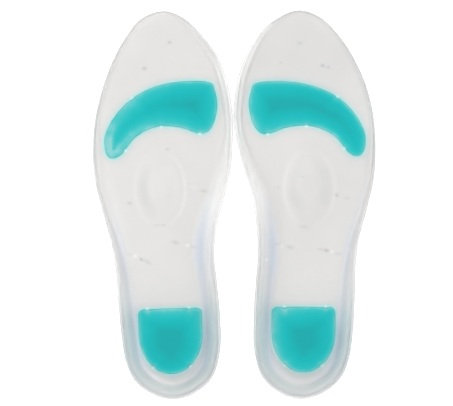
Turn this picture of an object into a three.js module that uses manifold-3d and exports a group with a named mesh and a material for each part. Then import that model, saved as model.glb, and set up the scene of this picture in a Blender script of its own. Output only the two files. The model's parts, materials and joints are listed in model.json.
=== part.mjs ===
// A pair of full-length silicone gel insoles, left and right, lying side by side with their
// toes towards +Y. Each insole is a clear moulding with a heel cup, a raised flange along
// the arch side, a metatarsal dome, and two pockets that hold softer teal gel inserts. The
// clear moulding is cut in two along the line where the foot bends at the ball, so that the
// toe half can turn on a hinge.
//
// Every shape is designed as a right insole: its heel end at y = 0, its toe end at
// y = LENGTH, the arch side at -X and the sole at z = 0. The left insole is its mirror.

import * as THREE from 'three';
import { mergeVertices } from 'three/addons/utils/BufferGeometryUtils.js';
import Module from 'manifold-3d';

const wasm = await Module();
wasm.setup();

// ---- Driving dimensions, in millimetres ----

const LENGTH = 260;

// Thickness of the foot bed under the heel and under the toes, and where it changes.
const HEEL_BED = 6.5;
const TOE_BED = 3.0;
const BED_CHANGE = [75, 150];

// The half-way line that the moulding's rings close in on.
const SPINE = [34, 222];

// Edge of the moulding: height of the rim above the sole, width of the rim, width of the
// wall that drops from the rim to the bed, each at stations along the insole.
const ARCH_SIDE_EDGE = [
  { y: 0, rim: 15, lip: 1.8, wall: 9.5 },
  { y: 35, rim: 16, lip: 2.6, wall: 8.5 },
  { y: 75, rim: 18.5, lip: 3.6, wall: 8.5 },
  { y: 110, rim: 20, lip: 4.2, wall: 10 },
  { y: 145, rim: 12.5, lip: 4.4, wall: 6.5 },
  { y: 176, rim: 6.2, lip: 4.2, wall: 2.6 },
  { y: 215, rim: 5.0, lip: 5.0, wall: 1.2 },
  { y: 242, rim: 4.0, lip: 3.4, wall: 1.2 },
  { y: 260, rim: 3.2, lip: 0.6, wall: 1.6 },
];
const OUTER_SIDE_EDGE = [
  { y: 0, rim: 15, lip: 1.8, wall: 9.5 },
  { y: 35, rim: 15.5, lip: 2.2, wall: 8.5 },
  { y: 75, rim: 12.5, lip: 2.0, wall: 8 },
  { y: 110, rim: 8.5, lip: 1.4, wall: 5 },
  { y: 150, rim: 5.0, lip: 1.0, wall: 3 },
  { y: 190, rim: 3.6, lip: 0.8, wall: 2 },
  { y: 242, rim: 3.3, lip: 0.6, wall: 2 },
  { y: 260, rim: 3.2, lip: 0.6, wall: 2 },
];

// The edge is this thick at its rim, and the wall's foot is this far out from the bed's edge.
const RIM_THICKNESS = 1.6;
const WALL_FOOT = 1.0;

// Half-width of the strip round the middle of the heel and the toe where the edges of the two
// sides blend into each other.
const SIDE_BLEND = 12;

// Metatarsal dome: centre, half-width, half-length, height, and the share of it that is flat.
const DOME = { x: 5.6, y: 141, halfWidth: 17.4, halfLength: 26.2, height: 3.4, flat: 0.25 };

// Inserts: the space round them, the skin of clear gel under them, how far their tops lie
// below the bed, and a height above the bed where the cuts for their pockets end.
const POCKET_GAP = 0.3;
const POCKET_SKIN = 1.0;
const INSERT_RECESS = 0.1;
const POCKET_TOP = 13;

// Heel insert: straight front edge, straight sides and a half-ellipse at the back.
const HEEL_INSERT = { x: 1.6, front: 60.9, back: 17.7, halfWidth: 21, round: 3.6, backLength: 27 };

// Flex line: a straight cut across the moulding just behind the forefoot insert, and the
// hinge axis above it, higher than every rim that the cut passes.
const FLEX_ARCH_SIDE = new THREE.Vector2(-43, 177.5);
const FLEX_OUTER_SIDE = new THREE.Vector2(50, 154.5);
const FLEX_GAP = 0.3;

// How each foot lies: mirror side, turn about +Z in degrees, place of its mid-length point,
// the share by which its toe part is narrower, how far its heel insert and the outer tail of
// its forefoot insert are moved, and how far its soft edges are moved in x. Each edge move is
// largest at one y and fades away on both sides.
const MID_LENGTH = 129.4;
const FEET = {
  left: {
    side: -1,
    turn: 1.92,
    x: -43.4,
    y: 129,
    narrower: 0.026,
    heelMove: { x: 0, y: -0.7 },
    tailMove: -1,
    edgeMoves: [
      { y: 5, fade: 25, arch: 0.6, outer: 0.8 },
      { y: 105, fade: 25, arch: 0, outer: 0.8 },
      { y: 142, fade: 26, arch: -2.6, outer: 0 },
      { y: 215, fade: 18, arch: 1, outer: 0 },
      { y: 244, fade: 15, arch: 2.3, outer: 0 },
      { y: 256, fade: 12, arch: 0, outer: 1.6 },
    ],
  },
  right: {
    side: 1,
    turn: 0,
    x: 45.2,
    y: 129.4,
    narrower: 0,
    heelMove: { x: 0, y: 0 },
    tailMove: 0,
    edgeMoves: [
      { y: 142, fade: 26, arch: 2.6, outer: 0 },
      { y: 245, fade: 12, arch: -0.8, outer: 0 },
    ],
  },
};
const NARROW_MIDDLE = 212;
const NARROW_FADE = 32;
const NARROW_TOWARDS_X = -25;
const TAIL_FROM_X = [5, 25];

// Points round the moulding, round the forefoot insert and across the middle of the moulding,
// and how far inside the outline each ring of points lies.
const OUTLINE_STEPS = 84;
const INSERT_STEPS = 44;
const RUNG_STEPS = 8;
const ARC_STEPS = 12;
const RING_DISTANCES = [0, 1, 2.2, 3.6, 5, 6.2, 7.6, 9.4, 11.4, 13.8, 17];
const MERGE_TOLERANCE = 1e-4;

const CLEAR_GEL = { color: 0xe6e8ea, roughness: 0.18, metalness: 0, transparent: true, opacity: 0.45 };
const TEAL_GEL = { color: 0x22b8ba, roughness: 0.45, metalness: 0 };

// ---- Outlines ----

// Moulding, from the back of the heel up the outer side to the toe and down the arch side.
const OUTLINE = [
  [0, 0], [14, 3.8], [25.5, 13], [31.6, 26.2], [34.4, 44], [35.8, 66], [36.4, 88], [38.9, 107],
  [43.9, 126], [48.6, 146], [50, 166], [48.8, 187], [44.4, 207], [36.4, 226], [26.7, 241.3],
  [13.9, 254.5], [-0.8, 260], [-14.9, 255], [-27.4, 243.9], [-36.9, 229.3], [-42.8, 212.5],
  [-45, 192], [-43.6, 172], [-40.3, 154], [-35.4, 136], [-31.3, 117], [-29.2, 97], [-30.5, 77],
  [-31.8, 55], [-31.4, 33], [-26.2, 14.7], [-14.1, 3.9],
];

// Forefoot insert, from its arch-side front corner clockwise to its outer tail and back.
const FOREFOOT_INSERT = [
  [-29.3, 211], [-11.1, 212], [7.6, 209], [24.3, 201.5], [36.2, 189.8], [42.5, 176.8], [41.8, 166],
  [37.3, 162.6], [31, 166], [22.1, 176.4], [7.6, 182.6], [-8.2, 182.1], [-23, 177.3],
  [-30.5, 181.6], [-34.5, 194.6], [-33.2, 205.5],
];

// Points at equal steps round the closed curve through some corner points.
function closedCurve(corners, steps) {
  const vectors = corners.map(([x, y]) => new THREE.Vector3(x, y, 0));
  const curve = new THREE.CatmullRomCurve3(vectors, true, 'catmullrom', 0.5);
  return curve.getSpacedPoints(steps).slice(0, steps).map((p) => new THREE.Vector2(p.x, p.y));
}

// 1 at the middle of a stretch, fading away to 0 on both sides.
function nearness(y, middle, fade) {
  return Math.exp(-(((y - middle) / fade) ** 2));
}

// Moves a point of the toe part sideways towards one lengthwise line.
function narrowToe([x, y], share) {
  const move = share * nearness(y, NARROW_MIDDLE, NARROW_FADE);
  return [x - move * (x - NARROW_TOWARDS_X), y];
}

// Moves an outline point by all the edge moves of its side.
function moveEdge([x, y], moves) {
  const side = x < 0 ? 'arch' : 'outer';
  return [moves.reduce((sum, move) => sum + move[side] * nearness(y, move.y, move.fade), x), y];
}

// Moves a point of the forefoot insert's outer tail.
function moveTail([x, y], move) {
  return [x + move * smoothstep(...TAIL_FROM_X, x), y];
}

function heelInsertOutline(grow) {
  const { x, front, back, halfWidth, round, backLength } = HEEL_INSERT;
  const w = halfWidth + grow;
  const shape = new THREE.Shape();
  shape.moveTo(x - w, back + backLength);
  shape.absellipse(x, back + backLength, w, backLength + grow, Math.PI, 2 * Math.PI, false);
  shape.lineTo(x + w, front + grow - round);
  shape.absarc(x + w - round, front + grow - round, round, 0, Math.PI / 2, false);
  shape.lineTo(x - w + round, front + grow);
  shape.absarc(x - w + round, front + grow - round, round, Math.PI / 2, Math.PI, false);
  return shape;
}

// The forefoot insert's outline, grown outwards along its normals.
function forefootInsertOutline(grow, { tailMove, narrower }) {
  const corners = FOREFOOT_INSERT.map((corner) => narrowToe(moveTail(corner, tailMove), narrower));
  const points = closedCurve(corners, INSERT_STEPS);
  const grown = points.map((point, i) => {
    const before = points[(i + points.length - 1) % points.length];
    const after = points[(i + 1) % points.length];
    const along = after.clone().sub(before).normalize();
    return new THREE.Vector2(point.x - along.y * grow, point.y + along.x * grow);
  });
  return new THREE.Shape(grown);
}

// ---- Surface of the moulding ----

function smoothstep(from, to, value) {
  return THREE.MathUtils.smoothstep(value, from, to);
}

// The edge's sizes at a place along one side, eased between its stations.
function edgeAt(stations, y) {
  const i = Math.max(1, stations.findIndex((station) => station.y >= y));
  const [a, b] = y >= LENGTH ? stations.slice(-2) : stations.slice(i - 1, i + 1);
  const t = smoothstep(a.y, b.y, y);
  const mix = (key) => THREE.MathUtils.lerp(a[key], b[key], t);
  return { rim: mix('rim'), lip: mix('lip'), wall: mix('wall') };
}

// The edge's sizes at any place: the two sides meet smoothly round the heel and the toe.
function edgeNear(x, y) {
  const arch = edgeAt(ARCH_SIDE_EDGE, y);
  const outer = edgeAt(OUTER_SIDE_EDGE, y);
  const t = smoothstep(-SIDE_BLEND, SIDE_BLEND, x);
  const mix = (key) => THREE.MathUtils.lerp(arch[key], outer[key], t);
  return { rim: mix('rim'), lip: mix('lip'), wall: mix('wall') };
}

function bedHeight(y) {
  return THREE.MathUtils.lerp(HEEL_BED, TOE_BED, smoothstep(...BED_CHANGE, y));
}

function domeHeight(x, y) {
  const r = Math.hypot((x - DOME.x) / DOME.halfWidth, (y - DOME.y) / DOME.halfLength);
  return DOME.height * (1 - smoothstep(DOME.flat, 1, r));
}

// Top surface at a place that lies some distance inside the outline.
function topHeight(x, y, inside) {
  const { rim, lip, wall } = edgeNear(x, y);
  const climb = 1 - smoothstep(lip, lip + wall, inside);
  return bedHeight(y) + (rim - bedHeight(y)) * climb + domeHeight(x, y);
}

// Sole at a place that lies some distance inside the outline.
function soleHeight(x, y, inside) {
  const { rim, lip, wall } = edgeNear(x, y);
  return (rim - RIM_THICKNESS) * (1 - smoothstep(0, lip + wall - WALL_FOOT, inside));
}

// Places of the ring that lies one distance inside the outline.
function ringPlaces(outline, inside) {
  return outline.map((point) => {
    const centre = new THREE.Vector2(0, THREE.MathUtils.clamp(point.y, ...SPINE));
    const place = centre.sub(point).setLength(inside).add(point);
    return { x: place.x, y: place.y, inside };
  });
}

// Rows of places that cross the innermost ring from its outer side to its arch side.
function rungPlaces(ring, steps) {
  const rows = [];
  for (let k = 1; k < ring.length / 2; k += 1) {
    const from = ring[k];
    const to = ring[ring.length - k];
    for (let step = 1; step < steps; step += 1) {
      const x = THREE.MathUtils.lerp(from.x, to.x, step / steps);
      const y = THREE.MathUtils.lerp(from.y, to.y, step / steps);
      rows.push({ x, y, inside: Infinity });
    }
  }
  return rows;
}

// Triangles that fill the innermost ring, which starts at one point number, with rungs whose
// own points start at another.
function rungTriangles(ringStart, rungStart, count, steps, faceUp) {
  const half = count / 2;
  const pointAt = (k, step) => {
    if (k === 0 || k === half) return ringStart + k;
    if (step === 0) return ringStart + k;
    if (step === steps) return ringStart + count - k;
    return rungStart + (k - 1) * (steps - 1) + step - 1;
  };
  const triangles = [];
  const add = (a, b, c) => {
    if (a === b || b === c || a === c) return;
    triangles.push(a, ...(faceUp ? [b, c] : [c, b]));
  };
  for (let k = 0; k < half; k += 1) {
    for (let step = 0; step < steps; step += 1) {
      add(pointAt(k, step), pointAt(k + 1, step), pointAt(k, step + 1));
      add(pointAt(k, step + 1), pointAt(k + 1, step), pointAt(k + 1, step + 1));
    }
  }
  return triangles;
}

// The clear moulding in one piece: rings of points that close in from the outline, above and
// below, and rungs across the middle.
function mouldingGeometry({ edgeMoves, narrower }) {
  const corners = OUTLINE.map((corner) => narrowToe(moveEdge(corner, edgeMoves), narrower));
  const outline = closedCurve(corners, OUTLINE_STEPS);
  const positions = [];
  const add = (places, height) => {
    const start = positions.length / 3;
    places.forEach(({ x, y, inside }) => positions.push(x, y, height(x, y, inside)));
    return start;
  };
  const top = RING_DISTANCES.map((inside) => ringPlaces(outline, inside)).reverse();
  const sole = [...top].reverse();
  const rings = [
    ...top.map((ring) => add(ring, topHeight)),
    ...sole.map((ring) => add(ring, soleHeight)),
  ];
  const topRungs = add(rungPlaces(top[0], RUNG_STEPS), topHeight);
  const indices = [
    ...rungTriangles(rings[0], topRungs, OUTLINE_STEPS, RUNG_STEPS, true),
    ...rungTriangles(rings[rings.length - 1], 0, OUTLINE_STEPS, 1, false),
  ];
  for (let ring = 1; ring < rings.length; ring += 1) {
    for (let i = 0; i < OUTLINE_STEPS; i += 1) {
      const next = (i + 1) % OUTLINE_STEPS;
      const [a, b] = [rings[ring - 1] + i, rings[ring - 1] + next];
      const [c, d] = [rings[ring] + i, rings[ring] + next];
      indices.push(a, c, b, b, c, d);
    }
  }
  const geometry = new THREE.BufferGeometry();
  geometry.setAttribute('position', new THREE.Float32BufferAttribute(positions, 3));
  geometry.setIndex(indices);
  return geometry;
}

// ---- Solids ----

// A closed geometry as a solid that can be joined and cut.
function solidFrom(geometry) {
  const bare = geometry.clone();
  bare.deleteAttribute('normal');
  bare.deleteAttribute('uv');
  const merged = mergeVertices(bare, MERGE_TOLERANCE);
  const vertProperties = Float32Array.from(merged.attributes.position.array);
  const triVerts = Uint32Array.from(merged.index.array);
  return new wasm.Manifold(new wasm.Mesh({ numProp: 3, vertProperties, triVerts }));
}

function geometryFrom(solid) {
  const { vertProperties, triVerts } = solid.getMesh();
  const geometry = new THREE.BufferGeometry();
  geometry.setAttribute('position', new THREE.Float32BufferAttribute(vertProperties, 3));
  geometry.setIndex([...triVerts]);
  return geometry;
}

// A flat-ended solid of an outline, from one height to another.
function slab(shape, bottom, top) {
  const depth = top - bottom;
  const options = { depth, bevelEnabled: false, curveSegments: ARC_STEPS, steps: 1 };
  return new THREE.ExtrudeGeometry(shape, options).translate(0, 0, bottom);
}

// A block that holds everything on one side of the flex line: 1 for the toe, -1 for the heel.
function flexSideBlock(sign) {
  const across = FLEX_OUTER_SIDE.clone().sub(FLEX_ARCH_SIDE);
  const middle = FLEX_ARCH_SIDE.clone().add(FLEX_OUTER_SIDE).multiplyScalar(0.5);
  const size = 2 * LENGTH;
  return new THREE.BoxGeometry(size, size, size)
    .translate(0, sign * (size / 2 + FLEX_GAP / 2), 0)
    .rotateZ(across.angle())
    .translate(middle.x, middle.y, 0);
}

// The same geometry for the other foot.
function mirrored(geometry) {
  const copy = geometry.clone().scale(-1, 1, 1);
  const { array } = copy.index;
  for (let i = 0; i < array.length; i += 3) {
    [array[i], array[i + 1]] = [array[i + 1], array[i]];
  }
  return copy;
}

// ---- Pieces of one insole ----

function gelHalf(lie, sign) {
  const forefootPocket = slab(forefootInsertOutline(POCKET_GAP, lie), POCKET_SKIN, POCKET_TOP);
  const heelPocket = slab(heelInsertOutline(POCKET_GAP), POCKET_SKIN, POCKET_TOP)
    .translate(lie.heelMove.x, lie.heelMove.y, 0);
  const half = solidFrom(mouldingGeometry(lie))
    .intersect(solidFrom(flexSideBlock(sign)))
    .subtract(solidFrom(forefootPocket))
    .subtract(solidFrom(heelPocket));
  return geometryFrom(half);
}

function forefootInsertGeometry(lie) {
  const bottom = POCKET_SKIN + POCKET_GAP;
  return slab(forefootInsertOutline(0, lie), bottom, TOE_BED - INSERT_RECESS);
}

function heelInsertGeometry({ heelMove }) {
  const bottom = POCKET_SKIN + POCKET_GAP;
  return slab(heelInsertOutline(0), bottom, HEEL_BED - INSERT_RECESS)
    .translate(heelMove.x, heelMove.y, 0);
}

function piece(name, geometry, side, look) {
  const placed = side < 0 ? mirrored(geometryFrom(solidFrom(geometry))) : geometry;
  placed.computeVertexNormals();
  const mesh = new THREE.Mesh(placed, new THREE.MeshStandardMaterial(look));
  mesh.name = name;
  return mesh;
}

// One insole, turned and set down where it lies.
function insole(foot) {
  const lie = FEET[foot];
  const { side, turn, x, y } = lie;
  const group = new THREE.Group();
  group.add(
    piece(`${foot}_gel_rear`, gelHalf(lie, -1), side, CLEAR_GEL),
    piece(`${foot}_gel_toe`, gelHalf(lie, 1), side, CLEAR_GEL),
    piece(`${foot}_forefoot_insert`, forefootInsertGeometry(lie), side, TEAL_GEL),
    piece(`${foot}_heel_insert`, heelInsertGeometry(lie), side, TEAL_GEL),
  );
  const turned = new THREE.Vector2(0, MID_LENGTH).rotateAround(
    new THREE.Vector2(),
    THREE.MathUtils.degToRad(turn),
  );
  group.rotation.z = THREE.MathUtils.degToRad(turn);
  group.position.set(x - turned.x, y - turned.y, 0);
  return group;
}

// Both insoles, moved together so that the origin is under the middle of the pair.
function insolePair() {
  const pair = new THREE.Group();
  pair.add(insole('left'), insole('right'));
  const middle = new THREE.Box3().setFromObject(pair, true).getCenter(new THREE.Vector3());
  pair.position.set(-middle.x, -middle.y, 0);
  return pair;
}

export default insolePair();
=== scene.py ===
"""A pair of clear silicone gel insoles with teal gel inserts, laid flat on a white surface.

Every insole is shaped as a right one in its own millimetre frame: heel end at y = 0, toe end
at y = 260, arch side at -x, sole at z = 0. The left one is its mirror. Each is then set down
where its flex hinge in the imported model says.
"""

import json
import math

import bpy
import numpy as np
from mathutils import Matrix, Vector, geometry, kdtree


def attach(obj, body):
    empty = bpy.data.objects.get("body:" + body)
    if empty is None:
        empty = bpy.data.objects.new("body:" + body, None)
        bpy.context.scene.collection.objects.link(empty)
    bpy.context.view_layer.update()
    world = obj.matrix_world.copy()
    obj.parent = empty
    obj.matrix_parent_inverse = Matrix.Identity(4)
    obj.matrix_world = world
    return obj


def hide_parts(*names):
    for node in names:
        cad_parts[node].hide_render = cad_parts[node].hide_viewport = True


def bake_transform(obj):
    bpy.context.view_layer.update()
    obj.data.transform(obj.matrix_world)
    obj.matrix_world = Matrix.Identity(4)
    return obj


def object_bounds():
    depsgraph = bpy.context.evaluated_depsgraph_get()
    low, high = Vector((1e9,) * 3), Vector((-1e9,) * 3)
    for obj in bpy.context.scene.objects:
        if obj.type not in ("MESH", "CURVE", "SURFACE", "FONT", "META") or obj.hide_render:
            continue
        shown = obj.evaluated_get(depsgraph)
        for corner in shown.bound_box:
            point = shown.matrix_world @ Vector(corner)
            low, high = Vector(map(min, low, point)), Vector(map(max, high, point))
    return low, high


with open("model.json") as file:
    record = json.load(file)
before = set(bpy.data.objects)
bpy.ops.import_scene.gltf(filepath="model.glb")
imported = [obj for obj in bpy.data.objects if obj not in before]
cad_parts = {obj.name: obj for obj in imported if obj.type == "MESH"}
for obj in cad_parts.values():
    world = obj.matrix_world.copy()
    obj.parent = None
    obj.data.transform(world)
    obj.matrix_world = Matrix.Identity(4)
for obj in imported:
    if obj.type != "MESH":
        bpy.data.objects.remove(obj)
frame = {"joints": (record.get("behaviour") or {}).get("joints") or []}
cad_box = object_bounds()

MM = 0.001

# ---- Design values in millimetres, as in the CAD part ----

LENGTH = 260
# Thickness of the foot bed under the heel and under the toes, and where it changes.
HEEL_BED = 6.5
TOE_BED = 3.0
BED_CHANGE = (75, 150)
# The half-way line that rings of points close in on.
SPINE = (34, 222)
# Half-width of the strip round the heel end and the toe end where the two sides blend.
SIDE_BLEND = 12
RIM_THICKNESS = 1.6
# The foot of the wall's underside is this far out from the bed's edge.
WALL_FOOT = 1.0
# The space round the inserts, the clear gel below them, and how far below the bed they lie.
POCKET_GAP = 0.3
POCKET_SKIN = 1.0
INSERT_RECESS = 0.1

# Stations along each side: place, rim height, lip width, wall width.
ARCH_SIDE_EDGE = np.array([
    (0, 15, 1.8, 9.5), (35, 16, 2.6, 8.5), (75, 18.5, 3.6, 8.5), (110, 20, 4.2, 10),
    (145, 12.5, 4.4, 6.5), (176, 6.2, 4.2, 2.6), (215, 5.0, 5.0, 1.2), (242, 4.0, 3.4, 1.2),
    (260, 3.2, 0.6, 1.6),
])
OUTER_SIDE_EDGE = np.array([
    (0, 15, 1.8, 9.5), (35, 15.5, 2.2, 8.5), (75, 12.5, 2.0, 8), (110, 8.5, 1.4, 5),
    (150, 5.0, 1.0, 3), (190, 3.6, 0.8, 2), (242, 3.3, 0.6, 2), (260, 3.2, 0.6, 2),
])

# Metatarsal dome: centre, half-width and half-length, height, and how much of it is flat.
DOME_CENTRE = (5.6, 141)
DOME_HALF = (17.4, 26.2)
DOME_HEIGHT = 3.4
DOME_TOP = 0.25

# From the back of the heel up the outer side to the toe and down the arch side.
OUTLINE = [
    (0, 0), (14, 3.8), (25.5, 13), (31.6, 26.2), (34.4, 44), (35.8, 66), (36.4, 88),
    (38.9, 107), (43.9, 126), (48.6, 146), (50, 166), (48.8, 187), (44.4, 207), (36.4, 226),
    (26.7, 241.3), (13.9, 254.5), (-0.8, 260), (-14.9, 255), (-27.4, 243.9), (-36.9, 229.3),
    (-42.8, 212.5), (-45, 192), (-43.6, 172), (-40.3, 154), (-35.4, 136), (-31.3, 117),
    (-29.2, 97), (-30.5, 77), (-31.8, 55), (-31.4, 33), (-26.2, 14.7), (-14.1, 3.9),
]
# From the arch-side front corner to the outer tail and back.
FOREFOOT_INSERT = [
    (-29.3, 211), (-11.1, 212), (7.6, 209), (24.3, 201.5), (36.2, 189.8), (42.5, 176.8),
    (41.8, 166), (37.3, 162.6), (31, 166), (22.1, 176.4), (7.6, 182.6), (-8.2, 182.1),
    (-23, 177.3), (-30.5, 181.6), (-34.5, 194.6), (-33.2, 205.5),
]
# Middle line, front edge, back end, half-width, corner radius, length of the rounded back.
HEEL_INSERT = {"x": 1.6, "front": 60.9, "back": 17.7, "half": 21, "round": 3.6, "rear": 27}

# The ends of the line where the foot bends.
FLEX_ARCH_SIDE = (-43, 177.5)
FLEX_OUTER_SIDE = (50, 154.5)

# How each foot lies: mirror side, the share by which its toe part is narrower, and how far
# its heel insert and the outer tail of its forefoot insert are moved.
FEET = {
    "left": {"side": -1, "narrower": 0.026, "heel_move": (0, -0.7), "tail_move": -1},
    "right": {"side": 1, "narrower": 0, "heel_move": (0, 0), "tail_move": 0},
}
# Place and fade of the narrowing, the lengthwise line that it is towards, and where across
# the foot the tail's move comes in.
NARROW_AT = (212, 32)
NARROW_TOWARDS_X = -25
TAIL_FROM_X = (5, 25)
# Moves in x of the soft edges, each largest at one place and fading away: place, fade, move
# of the arch side, move of the outer side.
EDGE_MOVES = {
    "left": [(5, 25, 0.6, 0.8), (105, 25, 0, 0.8), (142, 26, -2.6, 0), (215, 18, 1, 0),
             (244, 15, 2.3, 0), (256, 12, 0, 1.6)],
    "right": [(142, 26, 2.6, 0), (245, 12, -0.8, 0)],
}

# ---- Fine detail that only the visual meshes have, in millimetres ----

EDGE_ROUND = 0.75
# A shallow groove that runs round just inside the rim's edge: place, width and depth.
RIM_GROOVE = (1.7, 0.45, 0.15)
# How far a pocket's mouth is wider than the pocket.
MOUTH_FLARE = 0.25

# Where pegs of clear gel stand in bites in the inserts' edges, and how wide the bites are.
FOREFOOT_PEGS = [(-22.4, 176.9), (3.7, 182.4), (29.0, 167.4), (24.4, 202.1)]
HEEL_PEGS = [(-11.2, 61.4), (16.6, 61.4), (-10.9, 22.2), (13.9, 22.0)]
PEG_RADIUS = 1.4
# The soft inserts fill out their pockets by this much more than their plain solids do, and
# their tops are crowned by a height that is reached at a distance from the rim.
INSERT_SWELL = 0.18
INSERT_ROUND = 0.3
INSERT_CROWN = 0.25
INSERT_CROWN_AT = 9

# How closely the meshes' points lie: the box of a field of points, its pitch and its least
# distance from the edge, lines of points at distances from the edges, and the space that is
# kept between one kind of points and the next.
FIELD = ((-46, 0), (52, LENGTH))
OUTLINE_STEPS = 520
RING_DISTANCES = (0.12, 0.3, 0.55, 0.8, 1.1, 1.4, 1.7, 2, 2.4, 2.9, 3.6, 4.4, 5.2, 6, 6.9,
                  7.8, 8.8, 9.8, 11, 12.4, 14, 16)
GEL_PITCH = 1.7
GEL_FIELD_INSIDE = 16.8
MARK_PITCH = 0.5
MARK_REACH = 1.9
POCKET_RING_DISTANCES = (0.9, 1.6, 2.4, 3.3)
POCKET_RING_STEPS = 320
POINTS_APART = 0.45
POCKET_CLEARANCE = 0.6
FOREFOOT_STEPS = 360
HEEL_STEPS = 260
INSERT_PITCH = 1.5
INSERT_FIELD_INSIDE = 1.7
INSERT_RING_DISTANCES = (0.05, 0.15, 0.35, 0.8, 1.3)
INSERT_RING_STEPS = 240
INSERT_CLEARANCE = 0.1
ON_EDGE = 1e-3
SAME_POINT = 1e-4
SHARP_ANGLE = math.radians(50)

# ---- Tones of the clear gel, mostly painted light and shade: above 0 darker than the bed, below 0 paler ----

# How the tone changes near the edge, at stations along each side: how much paler the
# outermost edge is (a painted highlight along its rounded edge), depth of the painted shade line
# along the rim groove inside it, how much paler the lip is, and the painted light band behind
# the thin line, then place, width and depth of the painted shade at the foot of the wall.
ARCH_SIDE_TONE = np.array([
    (0, 0.4, 0.8, 0, 0, 9.5, 2.2, -0.3), (25, 0.1, 0.7, 0, 0.4, 10.3, 2, 0.7),
    (45, 0.3, 0.1, 0, 0.5, 9.8, 2.2, 0.9), (60, 0.1, 0.1, 0, 0.7, 9.6, 2.8, 0.5),
    (80, 0, 1.1, 0.3, 0.9, 8.6, 3, 0.4), (105, 0, 1.1, 0.6, 0.6, 8.2, 3, 0.2),
    (130, 0, 0.9, 1.2, 0.3, 7.8, 2.4, -0.4), (150, 0, 0.8, 0.9, 0.5, 6.6, 2, -0.5),
    (165, 0.2, 0.5, 0.5, 1.2, 5.4, 1.4, 0.1), (180, 0.2, 1.3, 1.4, 0.6, 4.4, 0.8, 1.0),
    (195, 0.5, 0.5, 0.7, 0.3, 4.8, 1.2, 0.6), (235, 0.3, 0.3, 0.8, -0.1, 4.8, 1.1, 0.2),
    (260, 0.6, 0.2, 0.1, 0, 1.5, 0.8, 0),
])
OUTER_SIDE_TONE = np.array([
    (0, 0.1, 0.5, 0, 0, 7.5, 3, -0.6), (20, -0.3, 0.7, 0, 0.2, 8, 3, 0.3),
    (45, 0.1, 0.5, 0, 0.5, 8.8, 3, 0.6), (65, -0.1, 0.4, 0.2, 0.4, 7.8, 3, 0.3),
    (80, 0, 0.2, 0.1, 0.1, 7.4, 3, 0.3), (100, 0.1, 0.1, 0.4, 0, 7, 2.2, 0.2),
    (120, 0.1, 0.1, 0.7, 0, 5.3, 1.3, 0.2), (140, 0.8, 0, 0.3, 0, 4.4, 1.5, 0.2),
    (160, 1.0, 0, 0, 0, 5, 2.2, 0.3), (180, 1.1, 0.2, 0, 0, 3.2, 1.5, 0.3),
    (200, 0.9, 0.3, 0, 0, 2.7, 1.2, 0.4), (235, 0.8, 0.2, 0, 0.1, 2.6, 1.2, 0.2),
    (260, 0.7, 0, 0, 0.2, 2.4, 1, 0),
])
# Place and width of those bands of painted light and shade, as distances from the edge.
EDGE_HIGHLIGHT = (0.4, 0.9)
RIM_LINE_SHADE = (1.5, 0.9)
LIGHT_BAND = (3.7, 1.2)
# Where the pale lip fades out, in widths of the painted wall shade outside its middle.
LIP_FADE = (1.6, 0.4)
# On the arch side of the left insole the pale lip and the painted shade at the foot of the wall
# fade out before its toe end; this is where along the foot.
LIP_ENDS = {"left": (212, 232), "right": (270, 280)}
# How much darker the toe end and the heel part are, and where along the foot that begins
# and ends.
TOE_TONE = {"left": 0.05, "right": 0.25}
TOE_BEGINS = (180, 230)
HEEL_TONE = 0.3
HEEL_ENDS = (45, 85)
# The bed behind the heel insert: tone, where it ends, and from how far inside the edge.
REAR_BED_TONE = 0.5
REAR_BED_ENDS = (15, 45)
REAR_BED_INSIDE = (11, 15)
# Painted bands beside the inserts and pegs: painted shade a little way out from the inserts, a
# painted glow at their edges and a painted glint at the pegs; how much, how far away, and how wide.
INSERT_SHADE = (0.15, 3, 1.2)
INSERT_EDGE_GLOW = (0.75, 0, 1)
PEG_GLINT = (1.2, 0, 1)

# How much painted shade the dome's flanks get (below 0 painted paler), on the arch side and on the
# outer side, and where they are, as shares of the dome's radius. Then the painted light line at
# its foot, in the same way.
DOME_FLANK_SHADE = {"left": (-0.2, 0.4), "right": (0.3, 0.1)}
DOME_FLANK_RING = (0.64, 0.17)
DOME_FOOT_LIGHT = (0.5, 0.35)
DOME_FOOT_RING = (0.97, 0.06)
DOME_SIDE_POWER = 1.5
# Nearer the dome's middle than this share of its radius, its two sides fade into each other.
DOME_MIDDLE = 0.1

# The heel cups get painted shade towards +X and painted light towards -X: how much, how near the
# middle line that changes, where along the foot it ends, and its band inside the edge.
CUP_LEAN = 0.42
CUP_LEAN_WITHIN = 10
CUP_LEAN_ENDS = (40, 58)
CUP_LEAN_BAND = (9, 3.5)
# Painted light makes the left insole's walls paler, and painted shade makes the outer half of the
# right insole's bed darker: how much, place and width along the foot, and where that fades across
# it.
LEFT_WALLS_LIT = (0.22, 115, 55)
LEFT_WALLS_END = (9, 15)
RIGHT_BED_SHADE = (0.2, 140, 45)
RIGHT_BED_FROM_X = (-8, 4)
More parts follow.
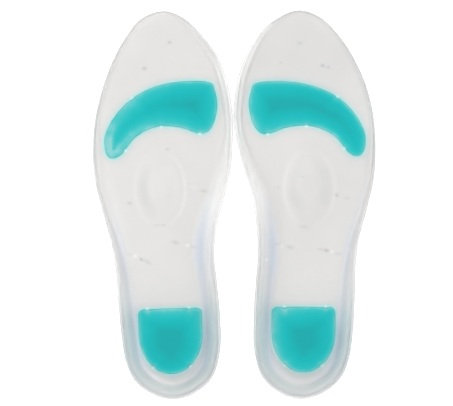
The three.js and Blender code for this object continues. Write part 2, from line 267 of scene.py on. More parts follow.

# Shallow oval marks that the mould's core pins and filling points leave in the clear gel: x, y,
# half-length, half-width, slant, and tone, which paints shade into the dent above 0 and a glint on
# it below 0.
MARKS = {
    "left": [
        (-4.1, 238.8, 1.1, 0.9, 0, 1.1), (13.3, 221.9, 1.4, 1.0, 0, 1.2),
        (-0.3, 167.1, 1.0, 0.8, 0, 0.9), (26.4, 131.8, 1.5, 1.0, 0, 0.8),
        (-23.5, 138.4, 2.4, 1.0, 10, 0.7), (-17, 141, 3, 0.8, 15, -0.4),
        (4.1, 116.3, 1.0, 0.8, 0, 0.8), (8.5, 116.5, 3.2, 0.7, 0, 0.5),
        (19.6, 94, 1.5, 1.0, 22, 1.4), (15.6, 92, 2.6, 1.3, 28, 0.7),
        (23.4, 96.6, 1.2, 0.9, 0, -0.8), (27.2, 97.4, 1.6, 0.8, 10, 0.6),
        (-3.6, 104.8, 2.4, 1.2, 17, 0.9), (-11.6, 102.3, 1.2, 0.9, 0, -1.0),
        (-15.4, 101.2, 1.4, 0.8, 17, 0.6),
    ],
    "right": [
        (-1, 237.8, 1.6, 0.9, 0, 0.7), (14.4, 223, 1.4, 0.9, -20, 1.1),
        (18.4, 221.7, 1.1, 0.9, 0, 0.8), (-13.4, 224.6, 0.9, 0.8, 0, 0.5),
        (0.6, 148.4, 1.0, 0.8, 0, 0.5), (23.8, 135.9, 1.3, 1.1, 0, 1.0),
        (30.6, 134, 1.6, 1.1, 0, 0.5), (-15.6, 141, 1.2, 1.0, 0, 0.4),
        (1.8, 114.8, 3.0, 1.2, -15, 0.5), (17.1, 99, 1.7, 1.0, -14, 1.5),
        (13, 99.8, 2.0, 1.0, 0, 0.6), (20.4, 98.3, 1.2, 1.0, 0, -0.9),
        (24.8, 96.8, 2.2, 0.9, -10, 0.6), (-7.4, 101, 2.6, 1.2, -14, 0.8),
        (-12.4, 102, 1.5, 1.0, 0, -0.6), (-16.2, 103.2, 1.3, 0.8, -20, 0.5),
        (-23.1, 92.9, 0.9, 0.9, 0, -1.2),
    ],
}
# How deep they are cut, in millimetres.
MARK_DEPTH = 0.25

# ---- Tints of the clear gel ----

# The tints are multiplied by the grey of the tone. Blue, partly the gel's own colour in depth and
# partly painted shade, is in the deep walls and round the heel bed, aqua in the heel cup, a painted
# teal glow beside the inserts, and the last one is the teal that shows through the thin gel below
# the inserts.
TINTS = {
    "blue": (0.85, 0.955, 1.12),
    "aqua": (0.85, 0.98, 1.0),
    "teal": (0.5, 0.99, 0.985),
    "insert_above": (0.1, 0.9, 0.92),
}
# Blue, partly painted shade at the foot of the walls: how much, place and width inside the edge, on
# the arch side, on the outer side and round the heel bed. The walls' blue has a place and a width
# along the foot too.
BLUE_ARCH_WALL = (0.8, 9.5, 2.8)
BLUE_OUTER_WALL = (0.4, 6, 2.5)
BLUE_WALLS_ALONG = (98, 24)
BLUE_HEEL_BED = (0.5, 9, 3)
BLUE_HEEL_FROM = (5, 30)
# Aqua: how much at the heel end, how much more further on, where that begins, and its band.
AQUA_AT_END = 0.15
AQUA_MORE = 0.55
AQUA_FROM = (5, 35)
AQUA_BAND = (4, 4)
# Place and width of the painted teal glow beside the inserts.
TEAL_GLOW_BAND = (0, 1.5)
# From where to where, across an insert's edge, its teal begins to show from below.
SHOW_THROUGH = (-0.8, 0.6)

# How much darker each insert's teal is, as a distance from the rim: in its middle, and how that
# grows with x and with y, which paints light and shade across the insert. It comes in over a
# distance from the rim.
TEAL_SHADING = {
    "left_forefoot_pad": (-1.2, -0.067, 0.066), "left_heel_pad": (1.4, 0.063, -0.16),
    "right_forefoot_pad": (2.5, 0.093, 0.122), "right_heel_pad": (0.4, 0.147, -0.064),
}
TEAL_SHADING_FROM_RIM = (0, 5)


# ---- Curves in the plane ----


def closed_curve(corners, steps):
    """Points at equal steps round the closed Catmull-Rom curve through some corner points."""
    points_per_corner = 60
    p = np.array(corners, float)
    t = np.linspace(0, 1, points_per_corner, endpoint=False)[:, None]
    parts = []
    for i in range(len(p)):
        a, b, c, d = p[i - 1], p[i], p[(i + 1) % len(p)], p[(i + 2) % len(p)]
        parts.append(0.5 * (2 * b + (c - a) * t + (2 * a - 5 * b + 4 * c - d) * t**2
                            + (3 * b - a - 3 * c + d) * t**3))
    return equal_steps(np.concatenate(parts), steps)


def equal_steps(points, steps):
    """The same closed line with its points at equal steps."""
    closed = np.vstack([points, points[:1]])
    length = np.r_[0, np.cumsum(np.linalg.norm(np.diff(closed, axis=0), axis=1))]
    at = np.linspace(0, length[-1], steps, endpoint=False)
    return np.stack([np.interp(at, length, closed[:, k]) for k in (0, 1)], 1)


def grown(points, distance):
    """A counter-clockwise closed line moved outwards along its normals."""
    along = np.roll(points, -1, 0) - np.roll(points, 1, 0)
    along /= np.linalg.norm(along, axis=1)[:, None]
    return points + np.stack([along[:, 1], -along[:, 0]], 1) * distance


def inside_line(points, line):
    """Which points lie inside a closed line."""
    hit = np.zeros(len(points), bool)
    x, y = points[:, 0], points[:, 1]
    for (x0, y0), (x1, y1) in zip(line, np.roll(line, -1, 0)):
        crosses = (y0 > y) != (y1 > y)
        hit[crosses] ^= x[crosses] < (x1 - x0) * (y[crosses] - y0) / (y1 - y0) + x0
    return hit


def nearest(points, targets):
    """The number of the target point nearest to each point, and how far away it is."""
    tree = kdtree.KDTree(len(targets))
    for i, (x, y) in enumerate(targets):
        tree.insert((x, y, 0), i)
    tree.balance()
    found = [tree.find((x, y, 0)) for x, y in points]
    return np.array([f[1] for f in found]), np.array([f[2] for f in found])


def distance_to(points, line):
    """Distance from each point to a closed line of short segments."""
    number, distance = nearest(points, line)
    for first in (number - 1, number):
        start = line[first]
        along = line[(first + 1) % len(line)] - start
        t = np.clip(np.sum((points - start) * along, 1) / np.sum(along**2, 1), 0, 1)
        distance = np.minimum(distance, np.linalg.norm(points - start - along * t[:, None], axis=1))
    return distance


def bitten(line, pegs, radius):
    """A counter-clockwise closed line with a round bite taken out at each peg."""
    points_per_bite = 12
    for peg in pegs:
        centre = np.array(peg)
        near = np.linalg.norm(line - centre, axis=1) < radius
        line = np.roll(line, -int(np.argmax(~near & np.roll(near, -1))) - 1, 0)
        count = int(np.sum(np.linalg.norm(line - centre, axis=1) < radius))
        before, after = line[-1] - centre, line[count] - centre
        start = math.atan2(before[1], before[0])
        stop = math.atan2(after[1], after[0])
        while stop > start:
            stop -= 2 * math.pi
        angles = np.linspace(start, stop, points_per_bite)
        arc = centre + radius * np.stack([np.cos(angles), np.sin(angles)], 1)
        line = np.vstack([arc, line[count:]])
    return line


def smoothstep(low, high, value):
    t = np.clip((value - low) / (high - low), 0, 1)
    return t * t * (3 - 2 * t)


def bump_at(value, centre, width):
    """A smooth bump from 0 up to 1 and back, round one value."""
    return np.exp(-(((value - centre) / width) ** 2))


def band(value, amount, centre, width):
    """The same bump, as high as an amount."""
    return amount * bump_at(value, centre, width)


def outer_share(x):
    """0 on the arch side and 1 on the outer side, and between them near the middle line."""
    return smoothstep(-SIDE_BLEND, SIDE_BLEND, x)


def narrowed(points, share):
    """Points of the toe part moved sideways towards one lengthwise line."""
    p = np.array(points, float)
    p[:, 0] -= share * bump_at(p[:, 1], *NARROW_AT) * (p[:, 0] - NARROW_TOWARDS_X)
    return p


def insole_outline(foot):
    """The moulding's outline as one foot's insole lies."""
    p = np.array(OUTLINE, float)
    on_arch_side = p[:, 0] < 0
    for place, fade, arch, outer in EDGE_MOVES[foot]:
        p[:, 0] += np.where(on_arch_side, arch, outer) * bump_at(p[:, 1], place, fade)
    return closed_curve(narrowed(p, FEET[foot]["narrower"]), OUTLINE_STEPS)


def heel_insert_line(foot):
    """A straight front edge with rounded corners, straight sides and a half-ellipse behind."""
    h = HEEL_INSERT
    middle = h["back"] + h["rear"]
    rear_points, corner_points = 40, 8
    rear = np.radians(np.linspace(180, 360, rear_points))
    corner = np.radians(np.linspace(0, 90, corner_points))
    turn = np.stack([np.cos(corner), np.sin(corner)], 1) * h["round"]
    line = np.vstack([
        np.stack([h["x"] + h["half"] * np.cos(rear), middle + h["rear"] * np.sin(rear)], 1),
        (h["x"] + h["half"] - h["round"], h["front"] - h["round"]) + turn,
        (h["x"] - h["half"] + h["round"], h["front"] - h["round"]) + turn[::-1] * (-1, 1),
    ])
    return equal_steps(line, HEEL_STEPS) + FEET[foot]["heel_move"]


def heel_pegs(foot):
    return np.array(HEEL_PEGS) + FEET[foot]["heel_move"]


def at_forefoot(points, foot):
    """Points of the forefoot insert, moved to where they lie in one foot's insole."""
    p = np.array(points, float)
    p[:, 0] += FEET[foot]["tail_move"] * smoothstep(*TAIL_FROM_X, p[:, 0])
    return narrowed(p, FEET[foot]["narrower"])


def forefoot_insert_line(foot):
    return closed_curve(at_forefoot(FOREFOOT_INSERT, foot), FOREFOOT_STEPS)[::-1]


def forefoot_pegs(foot):
    return at_forefoot(FOREFOOT_PEGS, foot)


# ---- Surface of the moulding ----


def station_value(stations, column, y):
    """A smooth curve through the stations' values, with slopes taken from their neighbours."""
    at, value = stations[:, 0], stations[:, column]
    slope = np.gradient(value, at)
    i = np.clip(np.searchsorted(at, y) - 1, 0, len(at) - 2)
    step = at[i + 1] - at[i]
    t = np.clip((y - at[i]) / step, 0, 1)
    return ((1 + 2 * t) * (1 - t) ** 2 * value[i] + t * (1 - t) ** 2 * step * slope[i]
            + t * t * (3 - 2 * t) * value[i + 1] + t * t * (t - 1) * step * slope[i + 1])


def edge_value(column, x, y, sides=(ARCH_SIDE_EDGE, OUTER_SIDE_EDGE)):
    """A side value at any place: the two sides meet smoothly round the heel and the toe."""
    arch, outer = (station_value(side, column, y) for side in sides)
    return arch + (outer - arch) * outer_share(x)


def dome_radius(x, y):
    return np.hypot((x - DOME_CENTRE[0]) / DOME_HALF[0], (y - DOME_CENTRE[1]) / DOME_HALF[1])


def mark_radius(x, y, mark):
    """Distance from a mark's middle, 1 on its oval rim."""
    mx, my, half_length, half_width, slant = mark[:5]
    c, s = math.cos(math.radians(slant)), math.sin(math.radians(slant))
    along, across = (x - mx) * c + (y - my) * s, (y - my) * c - (x - mx) * s
    return np.hypot(along / half_length, across / half_width)


def marks_sum(x, y, foot, weigh):
    """The marks' soft round bumps added up, each by a weight made from its tone."""
    return sum(band(mark_radius(x, y, mark), weigh(mark[5]), 0, 1) for mark in MARKS[foot])


def painted_dome_light(x, y, foot):
    """The dome's painted light and shade: light lines at its foot and shaded flanks, on both sides.
    """
    r = dome_radius(x, y)
    across = (x - DOME_CENTRE[0]) / DOME_HALF[0] / np.maximum(r, DOME_MIDDLE)
    arch = np.clip(-across, 0, 1) ** DOME_SIDE_POWER
    outer = np.clip(across, 0, 1) ** DOME_SIDE_POWER
    arch_flank, outer_flank = DOME_FLANK_SHADE[foot]
    arch_light, outer_light = DOME_FOOT_LIGHT
    flanks = (arch_flank * arch + outer_flank * outer) * bump_at(r, *DOME_FLANK_RING)
    return flanks - (arch_light * arch + outer_light * outer) * bump_at(r, *DOME_FOOT_RING)


def painted_uneven_light(x, y, inside, foot):
    """Painted light and shade that differ between the two insoles, and between the two sides of
    their heel cups.
    """
    lean = np.clip(x * FEET[foot]["side"] / CUP_LEAN_WITHIN, -1, 1)
    near_heel = 1 - smoothstep(*CUP_LEAN_ENDS, y)
    cup = CUP_LEAN * lean * near_heel * bump_at(inside, *CUP_LEAN_BAND)
    if foot == "left":
        return cup - band(y, *LEFT_WALLS_LIT) * (1 - smoothstep(*LEFT_WALLS_END, inside))
    return cup + band(y, *RIGHT_BED_SHADE) * smoothstep(*RIGHT_BED_FROM_X, x)


def edge_tone(x, y, inside, foot):
    """Tone near the edge, mostly painted light and shade, from the stations along the two sides."""
    edge, rim, lip, behind, line, width, depth = (
        edge_value(k, x, y, (ARCH_SIDE_TONE, OUTER_SIDE_TONE)) for k in range(1, 8))
    kept = 1 - smoothstep(*LIP_ENDS[foot], y) * (1 - outer_share(x))
    # Painted shade at the foot of the wall and along the rim groove.
    wall = band(inside, kept * depth, line, width) + band(inside, rim, *RIM_LINE_SHADE)
    lip_ends = [line - fade * width for fade in LIP_FADE]
    pale_lip = kept * lip * (1 - smoothstep(*lip_ends, inside))
    return wall - pale_lip - band(inside, edge, *EDGE_HIGHLIGHT) - band(inside, behind, *LIGHT_BAND)


def bed_tone(y, inside, pads, foot):
    """Tone of the bed along the foot, and the painted shade and glow beside the inserts."""
    heel = HEEL_TONE * (1 - smoothstep(*HEEL_ENDS, y))
    toe = TOE_TONE[foot] * smoothstep(*TOE_BEGINS, y)
    rear = REAR_BED_TONE * (1 - smoothstep(*REAR_BED_ENDS, y))
    # Painted shade a little way out from the inserts, less a painted glow at their edges.
    beside = band(pads, *INSERT_SHADE) - band(pads, *INSERT_EDGE_GLOW)
    return heel + toe + rear * smoothstep(*REAR_BED_INSIDE, inside) + beside


def gel_tone(x, y, inside, pads, pegs, foot):
    """Tone of the clear gel, mostly painted light and shade: above 0 it is darker than the bed,
    below 0 paler.
    """
    # The marks add painted shade in their dents and painted glints, and the pegs a painted glint.
    return (bed_tone(y, inside, pads, foot) + edge_tone(x, y, inside, foot)
            + painted_uneven_light(x, y, inside, foot) + painted_dome_light(x, y, foot)
            + marks_sum(x, y, foot, float) - band(pegs, *PEG_GLINT))


def gel_tints(x, y, inside, pads):
    """How far each of the faint colours in the clear gel shows; the blue is partly painted shade
    and the teal a painted glow.
    """
    heel = 1 - smoothstep(*HEEL_ENDS, y)
    outer = outer_share(x)
    walls = (1 - outer) * band(inside, *BLUE_ARCH_WALL) + outer * band(inside, *BLUE_OUTER_WALL)
    heel_bed = heel * smoothstep(*BLUE_HEEL_FROM, y) * band(inside, *BLUE_HEEL_BED)
    aqua = heel * (AQUA_AT_END + AQUA_MORE * smoothstep(*AQUA_FROM, y))
    return {
        "blue": bump_at(y, *BLUE_WALLS_ALONG) * walls + heel_bed,
        "aqua": aqua * bump_at(inside, *AQUA_BAND),
        "teal": bump_at(pads, *TEAL_GLOW_BAND),
    }


def top_height(x, y, inside):
    rim, lip, wall = (edge_value(k, x, y) for k in (1, 2, 3))
    bed = HEEL_BED + (TOE_BED - HEEL_BED) * smoothstep(*BED_CHANGE, y)
    dome = DOME_HEIGHT * (1 - smoothstep(DOME_TOP, 1, dome_radius(x, y)))
    climb = 1 - smoothstep(lip, lip + wall, inside)
    place, width, depth = RIM_GROOVE
    return bed + (rim - bed) * climb + dome - depth * bump_at(inside, place, width)


def sole_height(x, y, inside):
    rim, lip, wall = (edge_value(k, x, y) for k in (1, 2, 3))
    return (rim - RIM_THICKNESS) * (1 - smoothstep(0, lip + wall - WALL_FOOT, inside))


def edge_rounding(inside, radius):
    """How far a rounded edge drops below the flat at a distance from the end."""
    t = np.clip(1 - inside / radius, 0, 1)
    return radius * (1 - np.sqrt(1 - t * t))


# ---- Meshes ----


def triangles_of(points, loops):
    """Constrained Delaunay triangles of a cloud of points and some closed loops."""
    verts = [Vector(p) for p in points]
    edges = []
    for loop in loops:
        start = len(verts)
        verts += [Vector(p) for p in loop]
        edges += [(start + i, start + (i + 1) % len(loop)) for i in range(len(loop))]
    out = geometry.delaunay_2d_cdt(verts, edges, [], 0, SAME_POINT)
    made = np.array([tuple(v) for v in out[0]])
    return made, np.array([tuple(f) for f in out[2]])


def border_edges(triangles):
    """The edges that only one triangle has, as that triangle turns."""
    edges = {(int(a), int(b)): True for t in triangles for a, b in zip(t, np.roll(t, -1))}
    return [(a, b) for a, b in edges if (b, a) not in edges]


def mesh_object(name, verts, faces, side, place):
    """A mesh object from a right insole's points in millimetres, set down as one foot's."""
    turn, origin = place
    v = np.array(verts, float)
    x, y = v[:, 0] * side, v[:, 1]
    c, s = math.cos(turn), math.sin(turn)
    v = np.stack([x * c - y * s, x * s + y * c, v[:, 2]], 1) * MM + (origin.x, origin.y, 0)
    flipped = [f[::-1] for f in faces] if side < 0 else faces
    mesh = bpy.data.meshes.new(name)
    mesh.from_pydata(v.tolist(), [], [list(map(int, f)) for f in flipped])
    mesh.validate()
    mesh.polygons.foreach_set("use_smooth", [True] * len(mesh.polygons))
    mesh.set_sharp_from_angle(angle=SHARP_ANGLE)
    obj = bpy.data.objects.new(name, mesh)
    bpy.context.scene.collection.objects.link(obj)
    return obj


def set_attribute(obj, name, values):
    attribute = obj.data.attributes.new(name, "FLOAT", "POINT")
    attribute.data.foreach_set("value", np.asarray(values, np.float32))


def ring_points(outline, distances):
    """Points that close in from the outline towards the spine."""
    rings = []
    for distance in distances:
        centre = np.stack([np.zeros(len(outline)), np.clip(outline[:, 1], *SPINE)], 1)
        step = centre - outline
        rings.append(outline + step / np.linalg.norm(step, axis=1)[:, None] * distance)
    return np.concatenate(rings)


def grid_points(low, high, pitch):
    """A field of points in triangles of one pitch."""
    rows = np.arange(low[1], high[1], pitch * math.sqrt(3) / 2)
    made = []
    for k, y in enumerate(rows):
        across = np.arange(low[0] + (k % 2) * pitch / 2, high[0], pitch)
        made.append(np.column_stack([across, np.full(len(across), y)]))
    return np.concatenate(made)


def mark_points(foot):
    """A fine field of points at each mark."""
    fine = grid_points(*FIELD, MARK_PITCH)
    near = [mark_radius(*fine.T, mark) < MARK_REACH for mark in MARKS[foot]]
    return fine[np.any(near, axis=0)]


def joined(cloud, points):
    """A cloud with some points added, and with its own points that lie too near them left out."""
    clear = nearest(cloud, points)[1] > POINTS_APART
    return np.concatenate([cloud[clear], points])


def gel_points(foot, outline, pockets):
    """Points over the moulding, closer together at its rim, its marks and its pockets."""
    field = grid_points(*FIELD, GEL_PITCH)
    field = field[inside_line(field, outline)]
    field = field[distance_to(field, outline) > GEL_FIELD_INSIDE]
    cloud = np.concatenate([ring_points(outline, RING_DISTANCES), field])
    cloud = joined(cloud, mark_points(foot))
    for line in pockets:
        for distance in POCKET_RING_DISTANCES:
            cloud = joined(cloud, equal_steps(grown(line, distance), POCKET_RING_STEPS))
    for line in pockets:
        cloud = cloud[distance_to(cloud, line) > POCKET_CLEARANCE]
    return cloud


def gel_faces(triangles, in_pocket, on_edge):
    """Faces of the moulding. Its points come three times: on top, on the sole and on the
    pockets' floors.
    """
    count = len(on_edge)
    upper = triangles[~in_pocket]
    faces = [tuple(t) for t in upper]
    faces += [tuple(t[::-1] + count) for t in triangles]
    faces += [tuple(t + 2 * count) for t in triangles[in_pocket]]
    for a, b in border_edges(upper):
        at_rim = on_edge[a] and on_edge[b]
        down = count if at_rim else 2 * count
        faces.append((b, a, a + down, b + down))
    return faces


def gel_body(foot, place):
    """The clear moulding, with its pockets open at the top."""
    outline = insole_outline(foot)
    inserts = ((forefoot_insert_line(foot), forefoot_pegs(foot)),
               (heel_insert_line(foot), heel_pegs(foot)))
    pockets = [bitten(grown(line, POCKET_GAP), pegs, PEG_RADIUS - POCKET_GAP)
               for line, pegs in inserts]
    mouths = [grown(line, MOUTH_FLARE) for line in pockets]
    cloud = gel_points(foot, outline, pockets)
    points, triangles = triangles_of(cloud, [outline, *pockets, *mouths])
    triangles = triangles[inside_line(points[triangles].mean(1), outline)]
    middle = points[triangles].mean(1)
    in_pocket = np.any([inside_line(middle, line) for line in pockets], axis=0)

    x, y = points.T
    inside = distance_to(points, outline)
    top = top_height(x, y, inside) - edge_rounding(inside, EDGE_ROUND)
    top -= MARK_DEPTH * marks_sum(x, y, foot, abs)
    sole = sole_height(x, y, inside) + edge_rounding(inside, EDGE_ROUND)
    layers = (top, sole, np.full(len(points), POCKET_SKIN))
    verts = np.concatenate([np.column_stack([points, z]) for z in layers])
    faces = gel_faces(triangles, in_pocket, inside < ON_EDGE)
    used = np.unique([i for f in faces for i in f])
    renumber = np.zeros(len(verts), int)
    renumber[used] = np.arange(len(used))
    faces = [[renumber[i] for i in f] for f in faces]
    obj = mesh_object(f"{foot}_gel_body", verts[used], faces, FEET[foot]["side"], place)

    pads = np.min([distance_to(points, line) for line in pockets], axis=0)
    pegs = nearest(points, np.vstack([pegs for _, pegs in inserts]))[1]
    shades = {"tone": gel_tone(x, y, inside, pads, pegs, foot), **gel_tints(x, y, inside, pads)}
    for name, values in shades.items():
        set_attribute(obj, name, np.tile(values, len(layers))[used])
    in_pad = np.any([inside_line(points, line) for line in pockets], axis=0)
    below = smoothstep(*SHOW_THROUGH, np.where(in_pad, pads, -pads))
    from_below = np.concatenate([np.zeros(len(points)), below, below])
    set_attribute(obj, "insert_above", from_below[used])
    return obj


def insert_points(line, edge):
    """Points over an insert, closer together at its rounded rim."""
    field = grid_points(line.min(0), line.max(0), INSERT_PITCH)
    field = field[inside_line(field, edge)]
    field = field[distance_to(field, edge) > INSERT_FIELD_INSIDE]
    rims = [equal_steps(grown(line, -d), INSERT_RING_STEPS) for d in INSERT_RING_DISTANCES]
    rims = np.concatenate(rims)
    rims = rims[inside_line(rims, edge)]
    rims = rims[distance_to(rims, edge) > INSERT_CLEARANCE]
    return np.concatenate([field, rims])


def insert_body(name, line, pegs, top, side, place):
    """A soft insert with bites in its edge, a rounded rim and a slightly crowned top."""
    edge = bitten(grown(line, INSERT_SWELL), pegs, PEG_RADIUS)
    points, triangles = triangles_of(insert_points(line, edge), [edge])
    triangles = triangles[inside_line(points[triangles].mean(1), edge)]
    inside = distance_to(points, edge)
    rounding = edge_rounding(inside, INSERT_ROUND)
    upper = top + INSERT_CROWN * smoothstep(0, INSERT_CROWN_AT, inside) - rounding
    under = POCKET_SKIN + POCKET_GAP + rounding
    verts = np.concatenate([np.column_stack([points, z]) for z in (upper, under)])
    count = len(points)
    faces = [tuple(t) for t in triangles] + [tuple(t[::-1] + count) for t in triangles]
    faces += [(b, a, a + count, b + count) for a, b in border_edges(triangles)]
    obj = mesh_object(name, verts, faces, side, place)
    # A painted slope of light and shade across the insert, added to the distance from the rim.
    all_over, with_x, with_y = TEAL_SHADING[name]
    teal_shading = all_over + (points - line.mean(0)) @ (with_x, with_y)
    rim_distance_and_shade = inside + teal_shading * smoothstep(*TEAL_SHADING_FROM_RIM, inside)
    set_attribute(obj, "rim_distance_and_shade", np.tile(rim_distance_and_shade, 2))
    return obj


# ---- Materials ----

GEL_IOR = 1.41
GEL_ROUGHNESS = (0.16, 0.24)
TEAL_ROUGHNESS = (0.4, 0.55)
# What most of a noise texture's values lie between.
NOISE_RANGE = (0.3, 0.7)

# Greys over the range of the gel's tone, mostly painted light and shade: palest, the bed, darkest.
GEL_TONE_RANGE = (-1.35, 1.65)
GEL_GREYS = [
    (0.0, (0.99, 0.985, 0.975)), (0.5, (0.796, 0.782, 0.769)), (1.0, (0.56, 0.57, 0.585)),
]
GEL_TRANSMISSION = 0.6
# How the light that passes through the gel is coloured, and how strongly.
GEL_DEPTH_COLOR = (0.78, 0.88, 0.90, 1)
GEL_DEPTH_DENSITY = 14

# Teals of the inserts over a range of distance from the rim, in millimetres, with each insert's
# painted light and shade added to that distance.
TEAL_RIM_RANGE = (1.5, 17.5)
TEALS = [
    (0.0, (0.20, 0.50, 0.495)), (0.05, (0.085, 0.455, 0.45)), (0.11, (0.042, 0.425, 0.425)),
    (0.2, (0.021, 0.412, 0.412)), (0.35, (0.0125, 0.395, 0.40)), (0.58, (0.007, 0.37, 0.378)),
    (1.0, (0.009, 0.315, 0.32)),
]

FLOOR_PALER = (0.86, 0.86, 0.86)
FLOOR_DARKER = (0.85, 0.85, 0.85)
FLOOR_GLOW = 0.42


class Nodes:
    """A short way to build a material's nodes."""

    def __init__(self, name):
        self.material = bpy.data.materials.new(name)
        self.material.use_nodes = True
        self.tree = self.material.node_tree
        self.shader = self.tree.nodes["Principled BSDF"]
        self.output = self.tree.nodes["Material Output"]
        self.place = self.add("ShaderNodeTexCoord").outputs["Object"]

    def add(self, kind, **settings):
        node = self.tree.nodes.new(kind)
        for key, value in settings.items():
            setattr(node, key, value)
        return node

    def link(self, source, target):
        self.tree.links.new(source, target)

    def noise(self, scale, detail=2.0):
        node = self.add("ShaderNodeTexNoise")
        node.inputs["Scale"].default_value = scale
        node.inputs["Detail"].default_value = detail
        self.link(self.place, node.inputs["Vector"])
        return node.outputs["Fac"]

    def attribute(self, name):
        return self.add("ShaderNodeAttribute", attribute_name=name).outputs["Fac"]

    def clouded(self, source, noise, amount):
        """A value with some noise added."""
        node = self.add("ShaderNodeMath", operation="MULTIPLY_ADD")
        self.link(noise, node.inputs[0])
        node.inputs[1].default_value = amount
        self.link(source, node.inputs[2])
        return node.outputs["Value"]

    def ranged(self, source, low, high, out_low, out_high):
        node = self.add("ShaderNodeMapRange")
        for key, value in zip(("From Min", "From Max", "To Min", "To Max"),
                              (low, high, out_low, out_high)):
            node.inputs[key].default_value = value
        self.link(source, node.inputs["Value"])
        return node.outputs["Result"]

    def between(self, factor, a, b):
        node = self.add("ShaderNodeMix", data_type="RGBA")
        node.inputs["A"].default_value = (*a, 1)
        node.inputs["B"].default_value = (*b, 1)
        self.link(factor, node.inputs["Factor"])
        return node.outputs["Result"]

    def tinted(self, color, attribute, tint):
        """A colour multiplied by a tint as far as one vertex attribute says."""
        node = self.add("ShaderNodeMix", data_type="RGBA", blend_type="MULTIPLY")
        self.link(self.attribute(attribute), node.inputs["Factor"])
        self.link(color, node.inputs["A"])
        node.inputs["B"].default_value = (*tint, 1)
        return node.outputs["Result"]

    def ramp(self, factor, stops):
        node = self.add("ShaderNodeValToRGB")
        elements = node.color_ramp.elements
        while len(elements) < len(stops):
            elements.new(0.5)
        for element, (position, color) in zip(elements, stops):
            element.position = position
            element.color = (*color, 1)
        self.link(factor, node.inputs["Fac"])
        return node.outputs["Color"]

    def bump(self, height, strength, distance, normal=None):
        node = self.add("ShaderNodeBump")
        node.inputs["Strength"].default_value = strength
        node.inputs["Distance"].default_value = distance
        self.link(height, node.inputs["Height"])
        if normal is not None:
            self.link(normal, node.inputs["Normal"])
        return node.outputs["Normal"]

    def set(self, **values):
        for key, value in values.items():
            self.shader.inputs[key.replace("_", " ")].default_value = value


def clear_gel_material():
    n = Nodes("clear_gel")
    n.set(IOR=GEL_IOR, Transmission_Weight=GEL_TRANSMISSION)
    # The tone attribute brings the painted light and shade into the base colour.
    cloudy = n.clouded(n.attribute("tone"), n.noise(scale=55), amount=0.3)
    color = n.ramp(n.ranged(cloudy, *GEL_TONE_RANGE, 0, 1), GEL_GREYS)
    for name, tint in TINTS.items():
        color = n.tinted(color, name, tint)
    n.link(color, n.shader.inputs["Base Color"])
    sheen = n.noise(scale=90, detail=3)
    n.link(n.ranged(sheen, *NOISE_RANGE, *GEL_ROUGHNESS), n.shader.inputs["Roughness"])
    waves = n.bump(n.noise(scale=70, detail=1), strength=0.2, distance=0.6 * MM)
    grain = n.bump(n.noise(scale=330, detail=2), strength=0.1, distance=0.2 * MM, normal=waves)
    n.link(grain, n.shader.inputs["Normal"])
    volume = n.add("ShaderNodeVolumeAbsorption")
    volume.inputs["Color"].default_value = GEL_DEPTH_COLOR
    volume.inputs["Density"].default_value = GEL_DEPTH_DENSITY
    n.link(volume.outputs["Volume"], n.output.inputs["Volume"])
    return n.material


def teal_gel_material():
    n = Nodes("teal_gel")
    n.set(IOR=GEL_IOR, Subsurface_Weight=0.2, Subsurface_Radius=(0.3, 1.0, 1.0),
          Subsurface_Scale=0.001, Specular_IOR_Level=0.1)
    cloudy = n.clouded(n.attribute("rim_distance_and_shade"), n.noise(scale=110, detail=3), amount=3.0)
    n.link(n.ramp(n.ranged(cloudy, *TEAL_RIM_RANGE, 0, 1), TEALS), n.shader.inputs["Base Color"])
    sheen = n.noise(scale=260, detail=3)
    n.link(n.ranged(sheen, *NOISE_RANGE, *TEAL_ROUGHNESS), n.shader.inputs["Roughness"])
    grain = n.bump(n.noise(scale=450, detail=3), strength=0.15, distance=0.2 * MM)
    n.link(grain, n.shader.inputs["Normal"])
    return n.material


def floor_material():
    n = Nodes("floor_paper")
    paper = n.between(n.noise(scale=8), FLOOR_DARKER, FLOOR_PALER)
    n.link(paper, n.shader.inputs["Base Color"])
    n.set(Roughness=0.9, Specular_IOR_Level=0.1)
    n.set(Emission_Color=(1, 1, 1, 1), Emission_Strength=FLOOR_GLOW)
    return n.material


# ---- Pieces set down where the hinges say ----


def hinge_of(foot):
    return next(j for j in frame["joints"] if j["name"] == f"{foot}_toe_flex")


def place_of(foot):
    """Turn and heel-end origin of an insole, from where its flex hinge lies."""
    side = FEET[foot]["side"]
    hinge = hinge_of(foot)
    ends = np.array([FLEX_ARCH_SIDE, FLEX_OUTER_SIDE]) * (side, 1)
    along = (ends[1] - ends[0]) * side
    turn = math.atan2(hinge["axis"][1], hinge["axis"][0]) - math.atan2(along[1], along[0])
    x, y = ends.mean(0) * MM
    c, s = math.cos(turn), math.sin(turn)
    pos = hinge["pos_m"]
    return turn, Vector((pos[0] - (x * c - y * s), pos[1] - (x * s + y * c)))


def build_insole(foot, gel, teal):
    """One insole's clear moulding and its two inserts; the heel insert goes on the rear body that
    moves it.
    """
    side = FEET[foot]["side"]
    place = place_of(foot)
    rear, toe = f"{foot}_rear", f"{foot}_toe"

    body = gel_body(foot, place)
    body.data.materials.append(gel)
    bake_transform(body)
    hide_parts(f"{foot}_gel_rear", f"{foot}_gel_toe")

    forefoot = insert_body(f"{foot}_forefoot_pad", forefoot_insert_line(foot),
                           forefoot_pegs(foot), TOE_BED - INSERT_RECESS, side, place)
    forefoot.data.materials.append(teal)
    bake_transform(forefoot)
    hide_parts(f"{foot}_forefoot_insert")

    heel = insert_body(f"{foot}_heel_pad", heel_insert_line(foot), heel_pegs(foot),
                       HEEL_BED - INSERT_RECESS, side, place)
    heel.data.materials.append(teal)
    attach(heel, rear)
    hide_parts(f"{foot}_heel_insert")


# ---- Stage ----

FLOOR_HALF_SIZE = 4
FLOOR_BELOW_SOLES = 0.0003

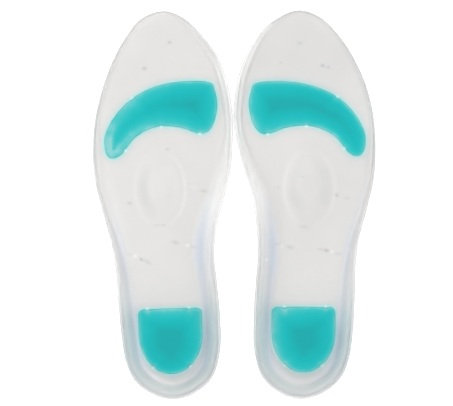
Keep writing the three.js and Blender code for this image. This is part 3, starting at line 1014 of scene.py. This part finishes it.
TENT_HORIZON = (0.8, 0.81, 0.83, 1)
TENT_OVERHEAD = (1, 1, 1, 1)
TENT_STRENGTH = 1.35

KEY_LIGHT_PLACE = (-1.6, 1.2, 2.6)
KEY_LIGHT_SIZE = 2.4
KEY_LIGHT_WATTS = 18

CAMERA_HEIGHT = 4.0
CAMERA_SENSOR = 36
CAMERA_SEES_UP_TO = 20
# The width that the camera sees, and how far its middle is from the pair's middle.
SEEN_WIDTH = 0.3038
SEEN_MIDDLE = (-0.0052, 0.001)


def make_floor():
    mesh = bpy.data.meshes.new("floor")
    half = FLOOR_HALF_SIZE
    mesh.from_pydata([(-half, -half, 0), (half, -half, 0), (half, half, 0), (-half, half, 0)],
                     [], [(0, 1, 2, 3)])
    floor = bpy.data.objects.new("floor", mesh)
    floor.location.z = -FLOOR_BELOW_SOLES
    floor.data.materials.append(floor_material())
    bpy.context.scene.collection.objects.link(floor)


def make_light():
    """One large soft light, high up on the left behind the toes."""
    light = bpy.data.lights.new("key", "AREA")
    light.shape = "SQUARE"
    light.size = KEY_LIGHT_SIZE
    light.energy = KEY_LIGHT_WATTS
    lamp = bpy.data.objects.new("key", light)
    lamp.location = KEY_LIGHT_PLACE
    lamp.rotation_mode = "QUATERNION"
    lamp.rotation_quaternion = (-Vector(KEY_LIGHT_PLACE)).to_track_quat("-Z", "Y")
    bpy.context.scene.collection.objects.link(lamp)


def make_world():
    """A white tent: bright overhead, dimmer towards the horizon."""
    world = bpy.data.worlds.new("tent")
    world.use_nodes = True
    bpy.context.scene.world = world
    tree = world.node_tree
    place = tree.nodes.new("ShaderNodeTexCoord")
    split = tree.nodes.new("ShaderNodeSeparateXYZ")
    tree.links.new(place.outputs["Generated"], split.inputs["Vector"])
    ramp = tree.nodes.new("ShaderNodeValToRGB")
    for element, color in zip(ramp.color_ramp.elements, (TENT_HORIZON, TENT_OVERHEAD)):
        element.color = color
    tree.links.new(split.outputs["Z"], ramp.inputs["Fac"])
    background = tree.nodes["Background"]
    background.inputs["Strength"].default_value = TENT_STRENGTH
    tree.links.new(ramp.outputs["Color"], background.inputs["Color"])


def make_camera():
    """Straight overhead, toes up, framed with the pair a little right of the middle."""
    data = bpy.data.cameras.new("camera")
    camera = bpy.data.objects.new("camera", data)
    lo, hi = cad_box
    middle = (lo + hi) / 2
    x, y = SEEN_MIDDLE
    camera.location = (middle.x + x, middle.y + y, CAMERA_HEIGHT)
    data.sensor_width = CAMERA_SENSOR
    data.lens = data.sensor_width * CAMERA_HEIGHT / SEEN_WIDTH
    data.clip_end = CAMERA_SEES_UP_TO
    bpy.context.scene.collection.objects.link(camera)
    bpy.context.scene.camera = camera


make_camera()
gel, teal = clear_gel_material(), teal_gel_material()
for foot in FEET:
    build_insole(foot, gel, teal)
make_floor()
make_world()
make_light()
bpy.context.scene.view_settings.view_transform = "Standard"
